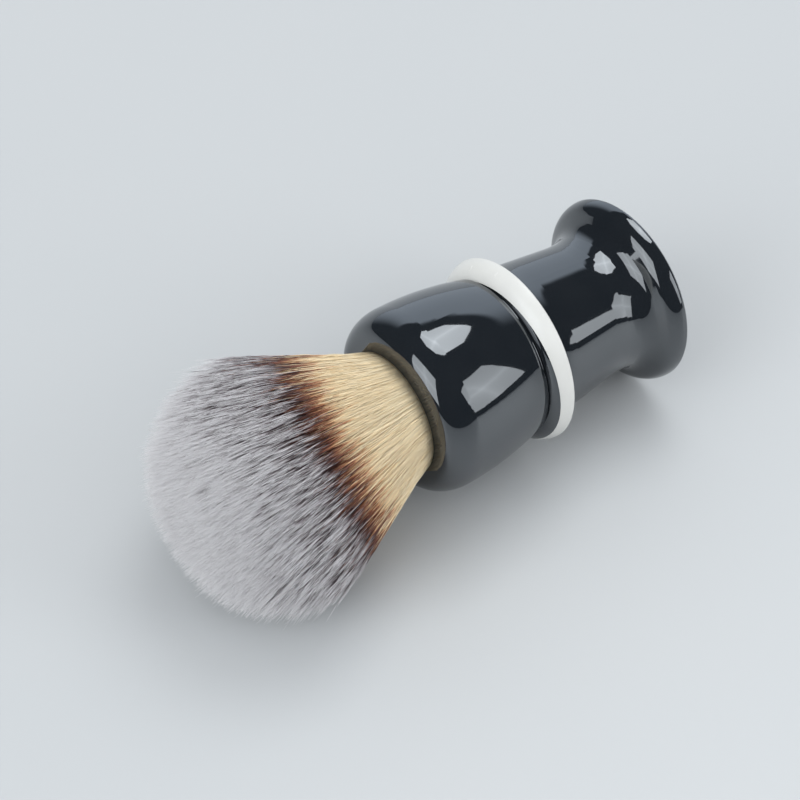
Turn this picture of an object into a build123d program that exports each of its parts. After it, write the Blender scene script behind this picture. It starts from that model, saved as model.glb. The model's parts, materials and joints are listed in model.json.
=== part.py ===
from build123d import *
from math import cos, hypot, radians, sin, tan
import os

# Shaving brush, lying on its side on a flat surface at z = 0, in millimetres.
# It rests on the rim of its foot and on the squashed underside of the knot.
# Lengths along the brush are measured from the mouth of the knot socket:
# positive towards the foot, negative towards the tips of the bristles.

# Knot
knot_radius = 12.0         # bundle where it leaves the handle
knot_reach = 50.3          # mouth to the tip of the dome
bloom_radius = 23.6        # widest part of the fan
bloom_at = 28.5            # distance of the widest part in front of the mouth
bloom_round = 26.8
splay_angle = 28.0
plug_radius = 11.85
plug_front = 2.5
plug_length = 10.0
binding_front = 1.0
binding_inner_radius = 11.1
binding_turns = 3

# Barrel, the upper half of the handle
socket_radius = 12.15
socket_depth = 14.0
mouth_chamfer = 0.25
rim_radius = 14.25         # flat of the mouth, before the shoulder rounds away
shoulder_length = 6.4
barrel_radius = 18.45
barrel_length = 24.1
barrel_end_radius = 16.12
barrel_edge_round = 0.2

# Accent ring
groove_radius = 15.8       # narrow groove between the barrel and the ring
bead_front = 24.4
bead_back = 28.4
bead_radius = 18.85
bead_round = 4.5
bead_edge_round = 0.45
joint_at = 24.3            # where the ring's front joint meets the groove
joint_slant = 2.7          # the joint is slightly out of square and cuts into the bead
joint_roll = 35.0          # deepest cut, this far below the horizontal on the -Y side
ring_bore_radius = 4.2

# Neck and foot, the lower half of the handle
neck_radius = 16.2
taper_angle = 7.4          # of the straight part, between the ring and the waist
taper_length = 11.0
waist_at = 46.6
waist_radius = 13.61
waist_round = 20.0         # ahead of the waist
swell_round = 12.0         # behind the waist, before the tight fillet
swell_angle = 12.0
flare_fillet = 4.2
flare_angle = 58.8
flare_length = 1.57
flange_round = 3.63
end_round_depth = 1.3
end_round_height = 2.4
dish_radius = 11.0
dish_depth = 0.5
dish_flat_radius = 4.0

# Hardware that joins the halves
stud_radius = 4.0
stud_front = 16.8
stud_back = 36.8
stud_chamfer = 0.6
insert_radius = 5.5
insert_length = 8.0
insert_groove = 0.35
upper_insert_front = 16.2
lower_insert_front = 29.0
insert_gap = 0.4           # hole depth left past an insert's inner end

# How it lies
tilt = radians(2.0)        # knot end up
flare = radians(flare_angle)
swell = radians(swell_angle)
fillet_at = waist_at + swell_round * sin(swell)
fillet_start_radius = waist_radius + swell_round * (1 - cos(swell))
slope_at = fillet_at + flare_fillet * (sin(flare) - sin(swell))
slope_start_radius = fillet_start_radius + flare_fillet * (cos(swell) - cos(flare))
flange_at = slope_at + flare_length * cos(flare) + flange_round * sin(flare)
flange_centre_radius = slope_start_radius + flare_length * sin(flare) - flange_round * cos(flare)
foot_radius = flange_centre_radius + flange_round
foot_end = flange_at + end_round_depth
mouth_height = flange_at * sin(tilt) + flange_centre_radius * cos(tilt) + flange_round
dome_depth = knot_reach - bloom_at
reach_front = bloom_at * cos(tilt) + hypot(dome_depth * cos(tilt), bloom_radius * sin(tilt))
end_ring_radius = foot_radius - end_round_height
reach_back = (
    flange_at * cos(tilt)
    + end_ring_radius * sin(tilt)
    + hypot(end_round_depth * cos(tilt), end_round_height * sin(tilt))
)

mouth = Vector((reach_front - reach_back) / 2, 0, mouth_height)
along = Vector(cos(tilt), 0, -sin(tilt))
upward = Vector(sin(tilt), 0, cos(tilt))
brush_axis = Axis(mouth, along)
profile = Plane(origin=mouth, x_dir=along, z_dir=(0, -1, 0))

# The ring's front joint lies in the groove on one side and cuts into the bead on the other.
deep_side = Vector(0, -1, 0) * cos(radians(joint_roll)) - upward * sin(radians(joint_roll))
joint = Plane(
    origin=mouth + along * joint_at - deep_side * groove_radius,
    z_dir=along - deep_side * tan(radians(joint_slant)),
)


def across(distance):
    """Plane square to the brush at a distance behind the mouth, facing the foot."""
    return Plane(origin=mouth + along * distance, x_dir=(0, 1, 0), z_dir=along)


def draw_bead():
    """Outline of the ring's bead, from the groove over its crest to the neck."""
    RadiusArc((bead_front, groove_radius), (bead_back, bead_radius), bead_round)
    Line((bead_back, bead_radius), (bead_back, neck_radius))


# Barrel: rounded shoulder, long taper, and the front sliver of the bead.
with BuildPart() as upper_handle:
    with BuildSketch(profile):
        with BuildLine():
            Polyline((bead_back, neck_radius), (bead_back, 0), (0, 0), (0, rim_radius))
            EllipticalCenterArc(
                (shoulder_length, rim_radius),
                x_radius=shoulder_length,
                y_radius=barrel_radius - rim_radius,
                start_angle=90,
                arc_size=90,
            )
            TangentArc(
                (shoulder_length, barrel_radius),
                (barrel_length, barrel_end_radius),
                tangent=(1, 0),
            )
            Polyline(
                (barrel_length, barrel_end_radius),
                (barrel_length, groove_radius),
                (bead_front, groove_radius),
            )
            draw_bead()
        make_face()
    revolve(axis=brush_axis)
    split(bisect_by=joint, keep=Keep.BOTTOM)
    barrel_edge = upper_handle.edges().filter_by(GeomType.CIRCLE).sort_by(
        lambda edge: abs(edge.radius - barrel_end_radius)
    )[0]
    fillet(barrel_edge, barrel_edge_round)
    with BuildSketch(across(0)):
        Circle(socket_radius)
    extrude(amount=socket_depth, mode=Mode.SUBTRACT)
    mouth_edge = upper_handle.edges().filter_by(GeomType.CIRCLE).sort_by(brush_axis)[0]
    chamfer(mouth_edge, mouth_chamfer)
    with BuildSketch(across(upper_insert_front - insert_gap)):
        Circle(insert_radius)
    extrude(amount=bead_back - upper_insert_front, mode=Mode.SUBTRACT)
upper_handle.part.label = "upper_handle"

# Ring: the rest of the bead, with a clearance hole for the stud.
with BuildPart() as accent_ring:
    with BuildSketch(profile):
        with BuildLine():
            Polyline(
                (bead_back, neck_radius),
                (bead_back, ring_bore_radius),
                (barrel_length, ring_bore_radius),
                (barrel_length, groove_radius),
                (bead_front, groove_radius),
            )
            draw_bead()
        make_face()
    revolve(axis=brush_axis)
    split(bisect_by=joint, keep=Keep.TOP)
    crest_edge = accent_ring.edges().filter_by(GeomType.CIRCLE).sort_by(lambda edge: edge.radius)[-1]
    fillet(crest_edge, bead_edge_round)
accent_ring.part.label = "accent_ring"

# Neck and foot: a waisted taper that flares into a round flange with a dished end.
with BuildPart() as lower_handle:
    with BuildSketch(profile):
        with BuildLine():
            waist_arc = JernArc((waist_at, waist_radius), (-1, 0), waist_round, -taper_angle)
            taper = PolarLine(waist_arc @ 1, taper_length, direction=waist_arc % 1)
            TangentArc(taper @ 1, (bead_back, neck_radius), tangent=taper % 1)
            swell_arc = JernArc((waist_at, waist_radius), (1, 0), swell_round, swell_angle)
            neck_foot = JernArc(swell_arc @ 1, swell_arc % 1, flare_fillet, flare_angle - swell_angle)
            slope = PolarLine(neck_foot @ 1, flare_length, direction=neck_foot % 1)
            flange = JernArc(slope @ 1, slope % 1, flange_round, -flare_angle)
            edge_round = EllipticalCenterArc(
                flange @ 1 - Vector(0, end_round_height),
                x_radius=end_round_depth,
                y_radius=end_round_height,
                start_angle=0,
                arc_size=90,
            )
            Line(edge_round @ 0, (foot_end, dish_radius))
            TangentArc(
                (foot_end - dish_depth, dish_flat_radius),
                (foot_end, dish_radius),
                tangent=(0, 1),
            )
            Polyline(
                (foot_end - dish_depth, dish_flat_radius),
                (foot_end - dish_depth, 0),
                (bead_back, 0),
                (bead_back, neck_radius),
            )
        make_face()
    revolve(axis=brush_axis)
    with BuildSketch(across(bead_back)):
        Circle(insert_radius)
    extrude(amount=lower_insert_front + insert_length + insert_gap - bead_back, mode=Mode.SUBTRACT)
lower_handle.part.label = "lower_handle"

# Threaded rod that draws the halves together through the ring.
with BuildPart() as joining_stud:
    with BuildSketch(across(stud_front)):
        Circle(stud_radius)
    extrude(amount=stud_back - stud_front)
    chamfer(joining_stud.edges().filter_by(GeomType.CIRCLE), stud_chamfer)
joining_stud.part.label = "joining_stud"


def make_insert(front, label):
    """Threaded sleeve pressed into one half, with two gripping grooves round it."""
    with BuildPart() as insert:
        with BuildSketch(across(front)):
            Circle(insert_radius)
            Circle(stud_radius, mode=Mode.SUBTRACT)
        extrude(amount=insert_length)
        for step in (1, 3):
            with BuildSketch(across(front + step * insert_length / 5)):
                Circle(insert_radius)
                Circle(insert_radius - insert_groove, mode=Mode.SUBTRACT)
            extrude(amount=insert_length / 5, mode=Mode.SUBTRACT)
    insert.part.label = label
    return insert.part


upper_insert = make_insert(upper_insert_front, "upper_insert")
lower_insert = make_insert(lower_insert_front, "lower_insert")

# Resin plug in which the roots of the fibres are potted.
plug_back = plug_front + plug_length
with BuildPart() as knot_plug:
    with BuildSketch(across(plug_front)):
        Circle(plug_radius)
    extrude(amount=plug_length)
    plug_edge = knot_plug.edges().filter_by(GeomType.CIRCLE).sort_by(brush_axis)[-1]
    chamfer(plug_edge, mouth_chamfer)
knot_plug.part.label = "knot_plug"

# Set adhesive: a thin cup between the plug and the socket.
with BuildPart() as knot_glue_bed:
    with BuildSketch(across(plug_front)):
        Circle(socket_radius)
    extrude(amount=socket_depth - plug_front)
    add(knot_plug.part, mode=Mode.SUBTRACT)
knot_glue_bed.part.label = "knot_glue_bed"

# Cord wound round the root bundle just above the plug.
binding_pitch = (plug_front - binding_front) / binding_turns
with BuildPart() as root_binding:
    with BuildSketch(profile):
        with BuildLine():
            Polyline(
                (binding_front, plug_radius - binding_pitch / 2),
                (binding_front, binding_inner_radius),
                (plug_front, binding_inner_radius),
                (plug_front, plug_radius - binding_pitch / 2),
            )
            for turn in range(binding_turns):
                start = binding_front + turn * binding_pitch
                ThreePointArc(
                    (start, plug_radius - binding_pitch / 2),
                    (start + binding_pitch / 2, plug_radius),
                    (start + binding_pitch, plug_radius - binding_pitch / 2),
                )
        make_face()
    revolve(axis=brush_axis)
root_binding.part.label = "root_binding"

# Fibre bundle: straight splay, rounded bloom and dome, squashed flat on the surface.
with BuildPart() as bristle_knot:
    with BuildSketch(profile):
        with BuildLine():
            EllipticalCenterArc(
                (-bloom_at, 0),
                x_radius=dome_depth,
                y_radius=bloom_radius,
                start_angle=90,
                arc_size=90,
            )
            bloom = JernArc((-bloom_at, bloom_radius), (1, 0), bloom_round, -splay_angle)
            Polyline(
                bloom @ 1,
                (0, knot_radius),
                (binding_front, knot_radius),
                (binding_front, binding_inner_radius),
                (plug_front, binding_inner_radius),
                (plug_front, 0),
                (-knot_reach, 0),
            )
        make_face()
    revolve(axis=brush_axis)
    split(bisect_by=Plane.XY, keep=Keep.TOP)
bristle_knot.part.label = "bristle_knot"

os.makedirs("parts", exist_ok=True)
for piece in (
    upper_handle.part,
    accent_ring.part,
    lower_handle.part,
    joining_stud.part,
    upper_insert,
    lower_insert,
    knot_plug.part,
    knot_glue_bed.part,
    root_binding.part,
    bristle_knot.part,
):
    export_step(piece, f"parts/{piece.label}.step")
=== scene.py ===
import json
import math

import bpy
import numpy as np
from mathutils import Matrix, Vector

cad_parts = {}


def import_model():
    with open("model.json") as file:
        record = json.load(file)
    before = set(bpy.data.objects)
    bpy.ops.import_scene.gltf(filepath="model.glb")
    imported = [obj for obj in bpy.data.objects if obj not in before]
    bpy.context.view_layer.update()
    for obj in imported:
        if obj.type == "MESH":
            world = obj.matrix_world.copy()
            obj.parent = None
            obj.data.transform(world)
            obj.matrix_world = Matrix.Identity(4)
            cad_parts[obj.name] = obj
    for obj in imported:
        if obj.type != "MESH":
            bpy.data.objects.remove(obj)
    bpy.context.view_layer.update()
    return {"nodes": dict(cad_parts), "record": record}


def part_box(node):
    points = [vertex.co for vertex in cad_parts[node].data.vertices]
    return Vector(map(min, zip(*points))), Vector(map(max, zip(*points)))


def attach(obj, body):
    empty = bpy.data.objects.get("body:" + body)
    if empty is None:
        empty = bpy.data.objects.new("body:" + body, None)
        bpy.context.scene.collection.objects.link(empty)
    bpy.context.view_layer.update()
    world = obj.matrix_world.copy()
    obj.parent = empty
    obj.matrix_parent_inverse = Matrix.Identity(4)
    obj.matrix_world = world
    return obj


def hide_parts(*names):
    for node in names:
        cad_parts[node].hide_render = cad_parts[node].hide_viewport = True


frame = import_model()

# ---------------------------------------------------------------- frame
# The brush's own axis runs through the joining stud, square to the foot's face.
MM = 0.001
STUD_MIDDLE = 26.8 * MM           # from the mouth of the knot socket to the stud's middle
foot_face = next(m for m in frame["record"]["mounts"] if m["name"] == "foot_face")
along = Vector(foot_face["axis"]).normalized()
upward = Vector((-along.z, 0.0, along.x))
stud_low, stud_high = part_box("joining_stud")
mouth = (stud_low + stud_high) / 2 - along * STUD_MIDDLE

# ---------------------------------------------------------------- camera
HEADING = math.radians(52.5)      # from +X towards +Y
PITCH = math.radians(47.7)        # downwards
VIEW_DISTANCE = 480.67 * MM
VIEW_RIGHT = 1.415 * MM           # picture's centre, from the mouth's centre
VIEW_UP = 2.241 * MM
LENS = 117.0
NEAREST = 0.05
FARTHEST = 20.0

look = Vector((
    math.cos(HEADING) * math.cos(PITCH),
    math.sin(HEADING) * math.cos(PITCH),
    -math.sin(PITCH),
))
right = Vector((math.sin(HEADING), -math.cos(HEADING), 0.0))
camera_data = bpy.data.cameras.new("camera")
camera_data.lens = LENS
camera_data.clip_start = NEAREST
camera_data.clip_end = FARTHEST
camera = bpy.data.objects.new("camera", camera_data)
camera.rotation_euler = (math.pi / 2 - PITCH, 0.0, HEADING - math.pi / 2)
camera.location = mouth + right * VIEW_RIGHT + right.cross(look) * VIEW_UP - look * VIEW_DISTANCE
bpy.context.scene.collection.objects.link(camera)
bpy.context.scene.camera = camera
bpy.context.scene.view_settings.view_transform = "Standard"


# ---------------------------------------------------------------- node helpers
class Nodes:
    """A short way to write node trees."""

    def __init__(self, owner):
        owner.use_nodes = True
        self.tree = owner.node_tree
        self.tree.nodes.clear()

    def add(self, kind, inputs=None, **settings):
        node = self.tree.nodes.new(kind)
        for name, value in settings.items():
            setattr(node, name, value)
        for name, value in (inputs or {}).items():
            if isinstance(value, bpy.types.NodeSocket):
                self.tree.links.new(value, node.inputs[name])
            else:
                node.inputs[name].default_value = value
        return node

    def math(self, operation, a, b=0.0, c=0.0):
        return self.add("ShaderNodeMath", {0: a, 1: b, 2: c}, operation=operation).outputs[0]

    def ramp(self, factor, stops, interpolation="LINEAR"):
        node = self.add("ShaderNodeValToRGB", {"Fac": factor})
        node.color_ramp.interpolation = interpolation
        elements = node.color_ramp.elements
        while len(elements) < len(stops):
            elements.new(0.5)
        for element, (place, colour) in zip(elements, stops):
            element.position = place
            element.color = (*colour, 1.0)
        return node.outputs["Color"]

    def surface(self, inputs):
        shader = self.add("ShaderNodeBsdfPrincipled", inputs)
        self.add("ShaderNodeOutputMaterial", {"Surface": shader.outputs[0]})


def new_material(name):
    material = bpy.data.materials.new(name)
    return material, Nodes(material)


# ---------------------------------------------------------------- materials
DARK_AT = 0.3                     # places of a mottle's two tones on its noise
LIGHT_AT = 0.7
CLOUD_SCALE = 160.0
POLISH_SCALE = 420.0
SWELL_SCALE = 70.0
COOL_SHEEN = (0.91, 0.955, 1.0, 1.0)
TURNED = (0.1, 1.0, 1.0)          # stretches a noise along the brush, as on machined rod


def noise(n, place, scale, detail):
    node = n.add("ShaderNodeTexNoise", {"Vector": place, "Scale": scale, "Detail": detail})
    return node.outputs["Fac"]


def two_tone(n, factor, dark, light):
    return n.ramp(factor, [(DARK_AT, dark), (LIGHT_AT, light)])


def spread_over(n, factor, span):
    """A number that follows the factor from the span's first value to its second."""
    return n.add("ShaderNodeMapRange", {"Value": factor, "To Min": span[0], "To Max": span[1]}).outputs[0]


def resin(name, dark, light, rough, wave, ior):
    """Polished cast resin: a faint cloudiness, uneven polish and a slightly wavy surface."""
    material, n = new_material(name)
    place = n.add("ShaderNodeTexCoord").outputs["Object"]
    cloud = noise(n, place, CLOUD_SCALE, 4.0)
    polish = noise(n, place, POLISH_SCALE, 5.0)
    swell = noise(n, place, SWELL_SCALE, 1.0)
    bump = n.add("ShaderNodeBump", {"Height": swell, "Distance": wave, "Strength": 1.0})
    n.surface({
        "Base Color": two_tone(n, cloud, dark, light),
        "Roughness": spread_over(n, polish, rough),
        "IOR": ior,
        "Specular Tint": COOL_SHEEN,
        "Normal": bump.outputs[0],
    })
    return material


def simple(name, dark, light, scale, rough, metallic=0.0, stretch=(1.0, 1.0, 1.0), depth=0.02 * MM):
    """Hidden parts: a two-tone mottle or grain with matching relief."""
    material, n = new_material(name)
    place = n.add("ShaderNodeTexCoord").outputs["Object"]
    place = n.add("ShaderNodeMapping", {"Vector": place, "Scale": stretch}).outputs[0]
    grain = noise(n, place, scale, 5.0)
    bump = n.add("ShaderNodeBump", {"Height": grain, "Distance": depth, "Strength": 1.0})
    n.surface({
        "Base Color": two_tone(n, grain, dark, light),
        "Roughness": spread_over(n, grain, rough),
        "Metallic": metallic,
        "Normal": bump.outputs[0],
    })
    return material


black_resin = resin(
    "black_resin",
    dark=(0.0075, 0.0090, 0.0110),
    light=(0.0100, 0.0115, 0.0135),
    rough=(0.03, 0.055),
    wave=0.003 * MM,
    ior=2.15,
)
white_resin = resin(
    "white_resin",
    dark=(0.62, 0.615, 0.59),
    light=(0.66, 0.655, 0.625),
    rough=(0.22, 0.30),
    wave=0.003 * MM,
    ior=1.5,
)
potting = simple("potting_resin", (0.45, 0.32, 0.15), (0.60, 0.46, 0.26), 600.0, (0.3, 0.5))
cord_wrap = simple("cord", (0.50, 0.45, 0.34), (0.70, 0.65, 0.53), 2500.0, (0.8, 0.95))
adhesive = simple("adhesive", (0.55, 0.47, 0.30), (0.68, 0.60, 0.42), 900.0, (0.3, 0.55))
steel = simple("steel", (0.42, 0.42, 0.43), (0.62, 0.62, 0.63), 900.0, (0.22, 0.4), 1.0, TURNED)
brass = simple("brass", (0.60, 0.42, 0.17), (0.78, 0.58, 0.29), 900.0, (0.22, 0.4), 1.0, TURNED)

node_materials = {
    "upper_handle": black_resin,
    "lower_handle": black_resin,
    "accent_ring": white_resin,
    "knot_plug": potting,
    "root_binding": cord_wrap,
    "knot_glue_bed": adhesive,
    "joining_stud": steel,
    "upper_insert": brass,
    "lower_insert": brass,
}
for node_name, node_material in node_materials.items():
    mesh = frame["nodes"][node_name].data
    if not mesh.materials:
        mesh.materials.append(node_material)
    for index in range(len(mesh.materials)):
        mesh.materials[index] = node_material

# ---------------------------------------------------------------- fibres
FIBRES = 52000
CLUMPS = 12500                    # tufts that the fibres end in
PIECES = 13
RINGS = 9
RING_SPACING = 0.85               # below 1 the rings are closer together near the tip
SIDES = 3
SEED = 20

# The fan, from its root to its dome
RIM_RADIUS = 12.0 * MM            # bundle where it leaves the handle
ROOT_RADIUS = 11.9 * MM
ROOT_DEPTH = 1.0 * MM             # how far below the mouth the fibres start
SPLAY = math.radians(20.0)        # of a straight fibre at the bundle's edge
EDGE_SPLAY = math.radians(25.0)   # of the outermost layer
EDGE_LAYER = 0.55                 # share of the radius where the extra splay begins
BLOOM_AT = 29.0 * MM              # widest place, in front of the mouth
BLOOM_RADIUS = 25.3 * MM
BLOOM_ROUND = 2.1 * MM
DOME_DEPTH = 18.6 * MM
DOME_SHOULDER = 1.4               # exponents of the dome's outline
DOME_FULLNESS = 0.3
TOP_FLATTEN = 0.22                # share of the splay lost on the side that faces up and to -Y
TOP_FOCUS = 1.5
LEAN = 1.5 * MM                   # the tips sag sideways, towards -Y
LEAN_CURVE = 0.9
REST_HEIGHT = 6.0 * MM            # fibres below this are pressed up by the table
SQUASH = 2.0 * MM
MOST_LIFT = 1.3
LOWEST = 0.12 * MM                # of a fibre's middle above the table
LOWEST_SPREAD = 0.1 * MM

# Where the fibres stand, and where they end
CENTRE_JITTER = 0.35              # in spacings of the tufts
HOME_JITTER = 0.5
DISC_LIMIT = 0.999
FLANK_SHARE = 0.66                # fibres outside this share of the radius also end along the flank
FLANK_START = 22.0 * MM           # nearest place to the mouth where a fibre ends
FLANK_CHANCE = 0.25
FLANK_CHANCE_GAIN = 0.6           # added at the very edge
FLANK_BIAS = 0.9
DOME_SHORTFALL = 2.8 * MM         # average depth of a tuft's tip below the dome
MOST_SHORTFALL = 6.0 * MM
TUFT_OUT = 1.5 * MM               # how far the longest tufts stand out of the dome
TIP_SCATTER = 0.9 * MM
TUFT_PULL = 0.85                  # share of a fibre's offset lost at its tuft's tip
PULL_SCATTER = 0.2
MOST_PULL = 0.92
PULL_LENGTH = 6.0 * MM
PULL_CURVE = 1.3
EARLY_DRIFT = 0.15                # share of the offset lost gradually, along the whole fibre
MOST_DRIFT = 0.95
CRIMP = 0.13 * MM
CRIMP_SHORTEST = 8.0              # length of one wave, in millimetres
CRIMP_LONGEST = 15.0
CRIMP_FULL_AT = 8.0 * MM
STRAY = 0.28 * MM                 # sideways spread of single fibres at their tips
STRAY_FULL_AT = 45.0 * MM
MOST_STRAY = 1.2
WISP_SHARE = 0.012                # of the fibres stand well clear of the rest
WISP_STRAY = 2.2
WISP_NEAREST = 0.2                # how far they stand out, in millimetres
WISP_FURTHEST = 2.0

# Thickness
FIBRE_RADIUS = 0.055 * MM
TIP_RADIUS = 0.014 * MM
TAPER_LENGTH = 7.0 * MM
TAPER_CURVE = 0.6
PACKED_LENGTH = 2.0 * MM          # near the mouth the fibres are packed, and slimmer
PACKED_RADIUS = 0.05 * MM

# Dye, and painted shade on the fibres' deeper lengths
BAND_SIDE = 18.8 * MM             # middle of the dark band, from the mouth, at the knot's sides
BAND_TOP = 25.5 * MM              # and on the side that faces up and to -Y
BAND_INSIDE = 31.0 * MM           # and in the middle of the bundle
BAND_TOP_FOCUS = 1.2
OUTER_FOCUS = 4                   # how closely the outside's values keep to the outside
BAND_WAVES = range(9, 40)         # waves round the knot in the band's place
BAND_WAVE_SIZE = 0.25 * MM
RAGGED_SIDES = 0.9                # extra raggedness at the knot's sides
TUFT_RAGGED = 1.2 * MM
FIBRE_RAGGED = 1.7 * MM
CREAM_SPAN = 30.0 * MM            # length of fibre on the colour map's lower half
GREY_SPAN = 0.2                   # share of the colour map from the band to grey
GREY_FADE = 5.0 * MM              # from the band to grey, on the outermost fibres
GREY_FADE_INSIDE = 21.0 * MM
TOP_FADE_CUT = 0.45               # share of that fade lost on the top side
TIP_AFTER_BAND = 5.0 * MM
PALE_TIP_SHADE_LENGTH = 4.0 * MM               # pale end of each fibre; the darker grey below it is partly the fibre's own colour and partly painted shade among the tufts
LATE_SHARE = 0.23                 # of the fibres stay dark almost to the tip
LATE_TOP_CUT = 0.6                # share of them that is missing on the top side
LATE_GREYING = 0.2
GROUPS = 16                       # tufts of one group share a part of the colour map's strips
STRIPS = 256

rng = np.random.default_rng(SEED)
top_side = np.array((0.80, -0.59))  # upward and sideways parts of the flattened side's direction


def envelope(x):
    """Radius of the fan's outer surface at a distance in front of the mouth."""
    straight = RIM_RADIUS + x * math.tan(EDGE_SPLAY)
    bend = np.sqrt(np.maximum(BLOOM_ROUND**2 - (x - BLOOM_AT) ** 2, 0.0)) - BLOOM_ROUND + BLOOM_RADIUS
    depth = np.maximum(x - BLOOM_AT, 0.0) / DOME_DEPTH
    dome = BLOOM_RADIUS * np.clip(1 - depth**DOME_SHOULDER, 0.0, 1.0) ** DOME_FULLNESS
    bend_at = BLOOM_AT - BLOOM_ROUND * math.sin(EDGE_SPLAY)
    return np.where(x < bend_at, straight, np.where(x < BLOOM_AT, bend, dome))


def fan(x, share):
    """Radius of a fibre that starts at a share of the root radius."""
    inner = ROOT_RADIUS * share + x * np.tan(SPLAY * share)
    spread = np.minimum(x, BLOOM_AT)
    edge = np.maximum(envelope(spread) - RIM_RADIUS - spread * math.tan(SPLAY), 0.0)
    weight = np.clip((share - EDGE_LAYER) / (1 - EDGE_LAYER), 0.0, 1.0) ** 2
    return inner + weight * edge * (x > 0)


def tip_distance(share):
    """Distance in front of the mouth at which a fibre meets the dome."""
    low = np.full_like(share, BLOOM_AT - 1.0 * MM)
    high = np.full_like(share, BLOOM_AT + DOME_DEPTH)
    for _ in range(30):
        middle = (low + high) / 2
        inside = fan(middle, share) < envelope(middle)
        low = np.where(inside, middle, low)
        high = np.where(inside, high, middle)
    return low


def spiral(count, jitter):
    """Evenly spread points in the unit disc."""
    index = np.arange(count) + 0.5
    radius = np.sqrt(index / count)
    angle = index * math.pi * (3 - math.sqrt(5))
    spacing = jitter * math.sqrt(math.pi / count)
    points = np.stack([radius * np.cos(angle), radius * np.sin(angle)], 1)
    return points + rng.normal(0.0, spacing, (count, 2))


def clipped(points):
    """The same points, none outside the disc."""
    size = np.maximum(np.linalg.norm(points, axis=1, keepdims=True), 1e-9)
    return points * np.minimum(1.0, DISC_LIMIT / size)


centres = spiral(CLUMPS, CENTRE_JITTER)
owner = np.arange(FIBRES) % CLUMPS
spacing = math.sqrt(math.pi / CLUMPS)
homes = clipped(centres[owner] + rng.normal(0.0, HOME_JITTER * spacing, (FIBRES, 2)))
centres = clipped(centres)

# Each tuft of fibres ends together, most on the dome and the outer ones along the flank too.
tuft_share = np.linalg.norm(centres, axis=1)
tuft_dome = tip_distance(tuft_share)
flank = np.clip((tuft_share - FLANK_SHARE) / (1 - FLANK_SHARE), 0.0, 1.0)
along_flank = rng.random(CLUMPS) < FLANK_CHANCE + FLANK_CHANCE_GAIN * flank
flank_cut = (rng.random(CLUMPS) ** FLANK_BIAS) * (tuft_dome - FLANK_START)
flank_cut = np.where(along_flank, flank_cut, 0.0) * (flank > 0)
tuft_short = flank_cut + np.minimum(rng.exponential(DOME_SHORTFALL, CLUMPS), MOST_SHORTFALL)
tuft_pull = np.clip(rng.normal(TUFT_PULL, PULL_SCATTER, CLUMPS), 0.0, MOST_PULL)
tuft_group = rng.integers(0, GROUPS, CLUMPS)

home_share = np.linalg.norm(homes, axis=1)
home_aim = homes / np.maximum(home_share, 1e-9)[:, None]
dome_at = tip_distance(home_share)
wisp = rng.random(FIBRES) < WISP_SHARE
reach = dome_at + TUFT_OUT - tuft_short[owner] - np.abs(rng.normal(0.0, TIP_SCATTER, FIBRES))
reach = np.where(wisp, dome_at + rng.uniform(WISP_NEAREST, WISP_FURTHEST, FIBRES) * MM, reach)
steps = np.linspace(0.0, 1.0, RINGS) ** RING_SPACING
distance = -ROOT_DEPTH + steps[None, :] * (reach + ROOT_DEPTH)[:, None]
to_tip = reach[:, None] - distance

# Near its tip each fibre draws towards the middle of its tuft.
drift = np.clip(1 - to_tip / PULL_LENGTH, 0.0, 1.0) ** PULL_CURVE * tuft_pull[owner][:, None]
drift += EARLY_DRIFT * np.clip(distance / reach[:, None], 0.0, 1.0) ** 2
drift = np.minimum(drift, MOST_DRIFT)
place = homes[:, None, :] * (1 - drift[..., None]) + centres[owner][:, None, :] * drift[..., None]
share = np.linalg.norm(place, axis=2)
aim = place / np.maximum(share, 1e-9)[..., None]
radius = fan(np.maximum(distance, 0.0), share)
radius = np.where(distance < 0, ROOT_RADIUS * share, radius)
facing_top = np.clip(aim @ top_side, 0.0, 1.0) ** TOP_FOCUS
radius -= TOP_FLATTEN * facing_top * (radius - ROOT_RADIUS * share)
phase = rng.uniform(0, 2 * math.pi, (FIBRES, 2))
wave_length = rng.uniform(CRIMP_SHORTEST, CRIMP_LONGEST, (FIBRES, 1, 2)) * MM
waves = 2 * math.pi * distance[..., None] / wave_length + phase[:, None, :]
crimp = CRIMP * np.sin(waves) * np.clip(distance / CRIMP_FULL_AT, 0.0, 1.0)[..., None]
stray = rng.normal(0.0, STRAY, (FIBRES, 1, 2)) * np.where(wisp, WISP_STRAY, 1.0)[:, None, None]
stray = stray * (np.clip(distance / STRAY_FULL_AT, 0.0, MOST_STRAY) ** 2)[..., None]
side = radius[..., None] * aim + crimp + stray

along_v = np.array(along)
up_v = np.array(upward)
side_v = np.array((0.0, 1.0, 0.0))
points = (
    np.array(mouth)
    - distance[..., None] * along_v
    + side[..., :1] * up_v
    + side[..., 1:] * side_v
)
sag = np.clip(distance / (BLOOM_AT + DOME_DEPTH), 0.0, 1.0) ** LEAN_CURVE
points[..., 1] -= LEAN * sag

# The table presses the lowest fibres up.
lift = np.clip((REST_HEIGHT - points[..., 2]) / (REST_HEIGHT + SQUASH), 0.0, MOST_LIFT)
points[..., 2] += SQUASH * lift**2
points[..., 2] = np.maximum(points[..., 2], LOWEST + LOWEST_SPREAD * rng.random(FIBRES)[:, None])

taper = np.clip(to_tip / TAPER_LENGTH, 0.0, 1.0) ** TAPER_CURVE
thickness = TIP_RADIUS + (FIBRE_RADIUS - TIP_RADIUS) * taper
thickness = np.where(distance < PACKED_LENGTH, np.minimum(thickness, PACKED_RADIUS), thickness)

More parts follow.
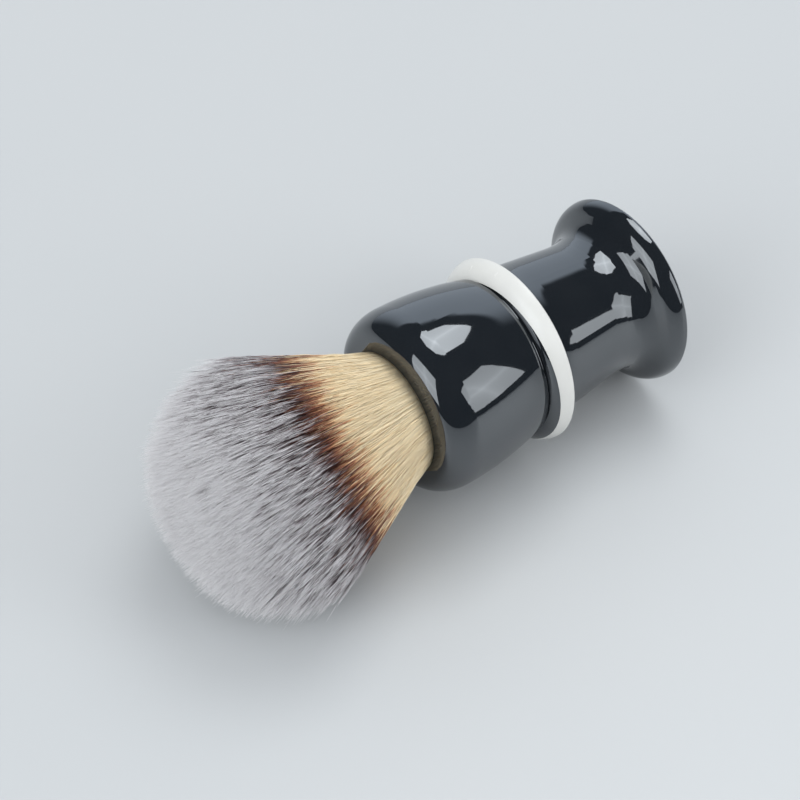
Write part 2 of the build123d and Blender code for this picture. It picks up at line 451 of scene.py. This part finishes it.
# Where the band falls on each fibre: further out on the top, and ragged from tuft to tuft.
angle = np.arctan2(home_aim[:, 1], home_aim[:, 0])
lobes = sum(
    rng.normal(0.0, 1.0) * np.sin(k * angle + rng.uniform(0, 2 * math.pi))
    for k in BAND_WAVES
)
lobes *= BAND_WAVE_SIZE / math.sqrt(len(BAND_WAVES) // 2)
toward_top = np.clip(home_aim @ top_side, 0.0, 1.0) ** BAND_TOP_FOCUS
outside = BAND_SIDE + (BAND_TOP - BAND_SIDE) * toward_top
band_at = BAND_INSIDE + (outside - BAND_INSIDE) * home_share**OUTER_FOCUS + lobes
ragged = 1 + RAGGED_SIDES * (1 - toward_top) * home_share
band_at += ragged * (rng.normal(0.0, TUFT_RAGGED, CLUMPS)[owner] + rng.normal(0.0, FIBRE_RAGGED, FIBRES))
strip = tuft_group[owner] * (STRIPS // GROUPS) + rng.integers(0, STRIPS // GROUPS, FIBRES)
colour_u = (strip + 0.5) / STRIPS
past_band = distance - band_at[:, None]
fade = GREY_FADE_INSIDE + (GREY_FADE - GREY_FADE_INSIDE) * home_share**OUTER_FOCUS
fade *= 1 - TOP_FADE_CUT * toward_top
late = np.where(rng.random(FIBRES) < LATE_SHARE * (1 - LATE_TOP_CUT * toward_top), LATE_GREYING, 1.0)
greying = np.clip(past_band / fade[:, None], 0.0, 1.0) * late[:, None]
# The pale end of each fibre is partly its own lighter tip; the darker grey kept below it is painted
# shade, for the shade deep among the tufts.
pale_tip_and_painted_shade = np.clip(1 - to_tip / PALE_TIP_SHADE_LENGTH, 0.0, 1.0) * np.clip(past_band / TIP_AFTER_BAND, 0.0, 1.0)
towards_root = 0.5 * past_band / CREAM_SPAN
towards_tip = GREY_SPAN * greying + (0.5 - GREY_SPAN * greying) * pale_tip_and_painted_shade
colour_v = 0.5 + np.where(past_band < 0, towards_root, towards_tip)
turn = rng.uniform(0, 2 * math.pi, FIBRES)


def fibre_mesh(name, chosen):
    """Closed three-sided tubes, one for each chosen fibre, with the colour map's UVs."""
    count = len(chosen)
    corner = turn[chosen][:, None] + np.arange(SIDES)[None, :] * 2 * math.pi / SIDES
    around = np.cos(corner)[..., None] * up_v + np.sin(corner)[..., None] * side_v
    ring = points[chosen][:, :, None, :] + thickness[chosen][:, :, None, None] * around[:, None, :, :]
    vertices = ring.reshape(-1, 3)
    each = RINGS * SIDES
    quads = []
    for level in range(RINGS - 1):
        for corner_index in range(SIDES):
            after = (corner_index + 1) % SIDES
            a = level * SIDES + corner_index
            b = level * SIDES + after
            quads.append((a, a + SIDES, b + SIDES, b))
    quads = np.array(quads)
    caps = np.array([(0, 1, 2), (each - 1, each - 2, each - 3)])
    base = (np.arange(count) * each)[:, None, None]
    quad_loops = (quads[None] + base).reshape(-1)
    cap_loops = (caps[None] + base).reshape(-1)
    loops = np.concatenate([quad_loops, cap_loops])
    sizes = np.concatenate([np.full(len(quad_loops) // 4, 4), np.full(len(cap_loops) // 3, 3)])
    starts = np.concatenate([[0], np.cumsum(sizes)[:-1]])
    mesh = bpy.data.meshes.new(name)
    mesh.vertices.add(len(vertices))
    mesh.vertices.foreach_set("co", vertices.astype(np.float32).ravel())
    mesh.loops.add(len(loops))
    mesh.loops.foreach_set("vertex_index", loops.astype(np.int32))
    mesh.polygons.add(len(sizes))
    mesh.polygons.foreach_set("loop_start", starts.astype(np.int32))
    mesh.polygons.foreach_set("loop_total", sizes.astype(np.int32))
    mesh.polygons.foreach_set("use_smooth", np.ones(len(sizes), bool))
    mesh.update(calc_edges=True)
    uv_u = np.repeat(colour_u[chosen], each)
    uv_v = np.repeat(colour_v[chosen].reshape(-1), SIDES)
    layer = mesh.uv_layers.new(name="OFBake")
    layer.data.foreach_set("uv", np.stack([uv_u[loops], uv_v[loops]], 1).astype(np.float32).ravel())
    mesh.validate()
    piece = bpy.data.objects.new(name, mesh)
    bpy.context.scene.collection.objects.link(piece)
    return piece


STRIP_SHIFT = 0.02                # how far the dye's places vary from strip to strip
CREAM_SHADE_FROM = 0.36                  # random warmer, darker strips on the cream length, partly dye and partly painted shade between strands, fade out between these places
CREAM_SHADE_TO = 0.44
LESS_GREEN = -0.06
LESS_BLUE = -0.14
TONE_SPREAD = 0.09


def fibre_material():
    """Synthetic fibre, dyed along its length: cream root, red-brown to black band, pale grey tip. The
    darker grey below the pale tip is partly dye and partly painted shade among the tufts, and the random
    warmer, darker strips in the cream are partly dye and partly painted shade between strands.
    """
    material, n = new_material("bristle")
    uv = n.add("ShaderNodeUVMap", uv_map="OFBake").outputs[0]
    axes = n.add("ShaderNodeSeparateXYZ", {0: uv})
    across, along_fibre = axes.outputs[0], axes.outputs[1]
    member = n.math("FLOOR", n.math("MULTIPLY", across, float(STRIPS)))
    member_noise = n.add("ShaderNodeTexWhiteNoise", {"W": member}, noise_dimensions="1D")
    shift = n.math("MULTIPLY_ADD", member_noise.outputs[0], STRIP_SHIFT, -STRIP_SHIFT / 2)
    where = n.math("ADD", along_fibre, shift)

    def before(distance_mm):
        return 0.5 - 0.5 * distance_mm * MM / CREAM_SPAN

    dye = n.ramp(where, [
        (0.0, (0.99, 0.875, 0.64)),
        (before(7.6), (0.99, 0.84, 0.58)),
        (before(6.2), (0.90, 0.60, 0.32)),
        (before(5.0), (0.52, 0.21, 0.105)),
        (before(2.8), (0.24, 0.080, 0.048)),
        (before(0.4), (0.060, 0.028, 0.028)),
        (0.56, (0.075, 0.043, 0.043)),
        (0.61, (0.40, 0.35, 0.365)),
        # From 0.70 to 1.0: mid grey to pale grey at the tip; the darker mid grey lower down is partly
        # painted shade among the tufts.
        (0.70, (0.64, 0.61, 0.63)),
        (0.85, (0.72, 0.705, 0.72)),
        (1.0, (0.72, 0.71, 0.72)),
    ])
    tone_noise = n.add("ShaderNodeSeparateColor", {0: member_noise.outputs[1]}).outputs[0]
    tone = n.math("MULTIPLY_ADD", tone_noise, TONE_SPREAD, 1 - TONE_SPREAD)
    cream_shade_span = n.add("ShaderNodeMapRange", {
        "Value": where,
        "From Min": CREAM_SHADE_FROM,
        "From Max": CREAM_SHADE_TO,
        "To Min": 1.0,
        "To Max": 0.0,
    })
    # Random strips in the cream lose some green and blue: partly dye, partly painted shade between
    # strands.
    depth = n.math("MULTIPLY", member_noise.outputs[0], cream_shade_span.outputs[0])
    less_green = n.math("MULTIPLY_ADD", depth, LESS_GREEN, 1.0)
    less_blue = n.math("MULTIPLY_ADD", depth, LESS_BLUE, 1.0)
    green = n.math("MULTIPLY", tone, less_green)
    blue = n.math("MULTIPLY", tone, less_blue)
    tones = n.add("ShaderNodeCombineXYZ", {0: tone, 1: green, 2: blue}).outputs[0]
    mixed = n.add("ShaderNodeVectorMath", {0: dye, 1: tones}, operation="MULTIPLY").outputs[0]
    n.surface({"Base Color": mixed, "Roughness": 0.4, "IOR": 1.5})
    return material


bristle = fibre_material()
order = rng.permutation(FIBRES)
for number, chosen in enumerate(np.array_split(order, PIECES), 1):
    fibres = fibre_mesh(f"knot_fibres_{number:02d}", chosen)
    fibres.data.materials.append(bristle)
    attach(fibres, "root")
    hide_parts("bristle_knot")

# ---------------------------------------------------------------- table
FLOOR_HALF = 5.0
TABLE_SCALE = 9.0
floor_mesh = bpy.data.meshes.new("table")
floor_signs = [(-1, -1), (1, -1), (1, 1), (-1, 1)]
floor_corners = [(x * FLOOR_HALF, y * FLOOR_HALF, 0) for x, y in floor_signs]
floor_mesh.from_pydata(floor_corners, [], [tuple(range(len(floor_corners)))])
floor_mesh.update()
table = bpy.data.objects.new("table", floor_mesh)
bpy.context.scene.collection.objects.link(table)
table_material, n = new_material("table")
place = n.add("ShaderNodeTexCoord").outputs["Object"]
mottle = noise(n, place, TABLE_SCALE, 2.0)
n.surface({
    "Base Color": n.ramp(mottle, [(0.2, (0.488, 0.503, 0.513)), (0.8, (0.502, 0.513, 0.520))]),
    "Roughness": 0.35,
    "Specular IOR Level": 0.35,
})
table.data.materials.append(table_material)

# ---------------------------------------------------------------- lights
PANEL_COLOUR = (0.95, 0.98, 1.0, 1.0)
PANEL_MIDDLE = 1.02               # a panel's brightness at its middle and at its edge
PANEL_EDGE = 0.90
RIB_SHARPNESS = 22.0              # per metre off the panel's cross of ribs
RIB_GLOW = 0.22
FILL = (0.88, 0.91, 0.94, 1.0)    # what the studio gives matt surfaces
DARK_ROOM = (0.036, 0.046, 0.058, 1.0)
WALL = (0.84, 0.94, 1.06, 1.0)
BACKDROP = (0.64, 0.68, 0.72, 1.0)
WALL_AZIMUTH = 48.0
WALL_SIDES = (52.0, 14.0)         # degrees off its middle where the wall starts and is full
WALL_TOP = (40.0, 36.0)           # degrees above the horizon, likewise


def toward(azimuth, elevation):
    a, e = math.radians(azimuth), math.radians(elevation)
    return Vector((math.cos(a) * math.cos(e), math.sin(a) * math.cos(e), math.sin(e)))


def soft_box(name, azimuth, elevation, width, height, radiance, boost, roll=0.0, corners=4, distance=1.3):
    """A glowing panel, width by height in degrees as seen from the brush.

    Matt surfaces get boost times as much of its light as glossy ones.
    """
    half_width = distance * math.tan(math.radians(width / 2))
    half_height = distance * math.tan(math.radians(height / 2))
    start = math.pi / corners
    scale = 1 / math.cos(start)
    turns = [start + 2 * math.pi * i / corners for i in range(corners)]
    outline = [(scale * half_width * math.cos(t), scale * half_height * math.sin(t), 0.0) for t in turns]
    mesh = bpy.data.meshes.new(name)
    mesh.from_pydata(outline, [], [tuple(range(corners))])
    mesh.update()
    panel = bpy.data.objects.new(name, mesh)
    way = toward(azimuth, elevation)
    panel.location = mouth + way * distance
    panel.rotation_mode = "QUATERNION"
    spin = Matrix.Rotation(math.radians(roll), 3, "Z").to_quaternion()
    panel.rotation_quaternion = way.to_track_quat("Z", "Y") @ spin
    panel.visible_camera = False
    bpy.context.scene.collection.objects.link(panel)
    material, n = new_material(name)
    place = n.add("ShaderNodeTexCoord").outputs["Object"]
    off_middle = n.add("ShaderNodeVectorMath", {0: place}, operation="LENGTH").outputs["Value"]
    glow = n.add("ShaderNodeMapRange", {
        "Value": off_middle,
        "From Max": max(half_width, half_height),
        "To Min": PANEL_MIDDLE * radiance,
        "To Max": PANEL_EDGE * radiance,
    })
    spot = n.add("ShaderNodeSeparateXYZ", {0: place})
    ribs = []
    for axis in (0, 1):
        off_rib = n.math("ABSOLUTE", spot.outputs[axis])
        falling = n.math("EXPONENT", n.math("MULTIPLY", off_rib, -RIB_SHARPNESS))
        ribs.append(n.math("MULTIPLY", falling, RIB_GLOW * radiance))
    bright = n.math("ADD", glow.outputs[0], n.math("ADD", ribs[0], ribs[1]))
    in_gloss = n.add("ShaderNodeLightPath").outputs["Is Glossy Ray"]
    share = n.math("MULTIPLY_ADD", in_gloss, 1 - boost, boost)
    strength = n.math("MULTIPLY", bright, share)
    emission = n.add("ShaderNodeEmission", {"Color": PANEL_COLOUR, "Strength": strength})
    n.add("ShaderNodeOutputMaterial", {"Surface": emission.outputs[0]})
    mesh.materials.append(material)


soft_box("key_panel", 25.0, 64.0, 34.0, 34.0, 3.6, 0.85, corners=8)
soft_box("side_panel", -54.0, 22.0, 27.0, 32.0, 2.1, 1.9, roll=5.0)
soft_box("left_panel", 187.0, 34.5, 40.0, 45.0, 2.4, 1.55)

world = bpy.data.worlds.new("studio")
bpy.context.scene.world = world
n = Nodes(world)
ray = n.add("ShaderNodeLightPath")
direction = n.add("ShaderNodeTexCoord").outputs["Generated"]
axes = n.add("ShaderNodeSeparateXYZ", {0: direction})


def step(value, low, high):
    """Rises smoothly from 0 to 1 as the value goes from low to high."""
    node = n.add("ShaderNodeMapRange", {"Value": value, "From Min": low, "From Max": high})
    node.interpolation_type = "SMOOTHSTEP"
    return node.outputs[0]


# A pale wall behind the brush, which only reflections see.
wall_way = toward(WALL_AZIMUTH, 0.0)
level = n.add("ShaderNodeCombineXYZ", {0: axes.outputs[0], 1: axes.outputs[1]}).outputs[0]
heading = n.add("ShaderNodeVectorMath", {0: level}, operation="NORMALIZE").outputs[0]
facing = n.add("ShaderNodeVectorMath", {0: heading, 1: tuple(wall_way)}, operation="DOT_PRODUCT")
sideways = step(facing.outputs["Value"], *(math.cos(math.radians(a)) for a in WALL_SIDES))
height = step(axes.outputs[2], *(math.sin(math.radians(a)) for a in WALL_TOP))
wall = n.math("MULTIPLY", sideways, height)
room = n.add("ShaderNodeMixRGB", {0: wall, 1: DARK_ROOM, 2: WALL})
studio = n.add("ShaderNodeBackground", {"Color": room.outputs[0], "Strength": 1.0})
fill = n.add("ShaderNodeBackground", {"Color": FILL, "Strength": 1.0})
pale = n.add("ShaderNodeBackground", {"Color": BACKDROP, "Strength": 1.0})
glossy = ray.outputs["Is Glossy Ray"]
straight = ray.outputs["Is Camera Ray"]
lit = n.add("ShaderNodeMixShader", {0: glossy, 1: fill.outputs[0], 2: studio.outputs[0]})
seen = n.add("ShaderNodeMixShader", {0: straight, 1: lit.outputs[0], 2: pale.outputs[0]})
n.add("ShaderNodeOutputWorld", {"Surface": seen.outputs[0]})
